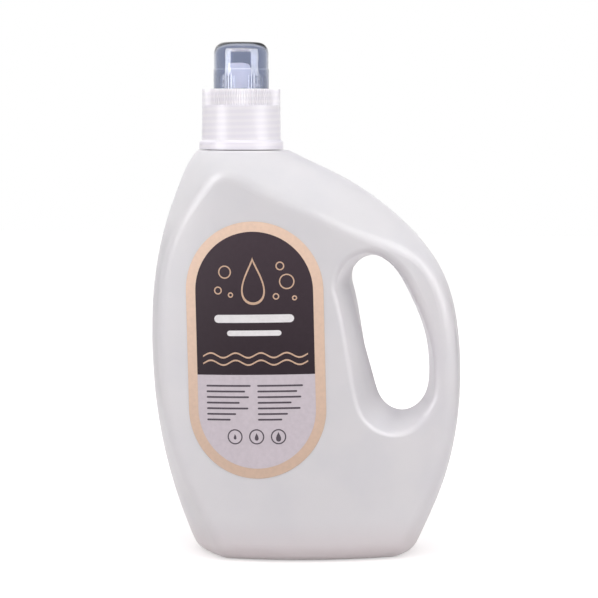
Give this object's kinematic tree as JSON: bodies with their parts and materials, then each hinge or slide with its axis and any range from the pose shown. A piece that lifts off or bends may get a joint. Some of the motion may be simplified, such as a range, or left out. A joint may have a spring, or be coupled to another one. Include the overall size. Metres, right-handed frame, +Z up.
{
  "type": "detergent refill bottle",
  "caption": "Hollow plastic refill bottle with a through handle, label panel, threaded neck, screw collar, pouring nozzle and a clear lift-off measuring cap.",
  "frame": {"origin": "middle of the bottle's width and depth, on the plane it stands on", "axes": "+Z up along the bottle's height, +X towards the handle, -Y out of the labelled front"},
  "size_m": [0.1741, 0.0901, 0.285],
  "materials": {
    "natural_polyethylene": "satin, milky and slightly see-through",
    "milky_polypropylene": "satin, milky",
    "translucent_polypropylene": "glossy, translucent",
    "clear_polypropylene": "glossy, clear with a blue-grey tint",
    "printed_film": "satin film, printed in fields of colour"
  },
  "bodies": {
    "bottle": {"bottle": "natural_polyethylene", "front_label": "printed_film"},
    "pour_spout": {"pour_spout": "milky_polypropylene"},
    "screw_collar": {"screw_collar": "translucent_polypropylene"},
    "measuring_cap": {"measuring_cap": "clear_polypropylene"}
  },
  "joints": [
    {"name": "closure_lift", "type": "slide", "parent": "bottle", "child": "pour_spout", "axis": [0, 0, 1], "range_m": [0, 0.06]},
    {"name": "collar_turn", "type": "hinge", "parent": "pour_spout", "child": "screw_collar", "pos_m": [-0.037, 0, 0.24], "axis": [0, 0, 1], "continuous": true},
    {"name": "cap_lift", "type": "slide", "parent": "pour_spout", "child": "measuring_cap", "axis": [0, 0, 1], "range_m": [0, 0.05]}
  ]
}
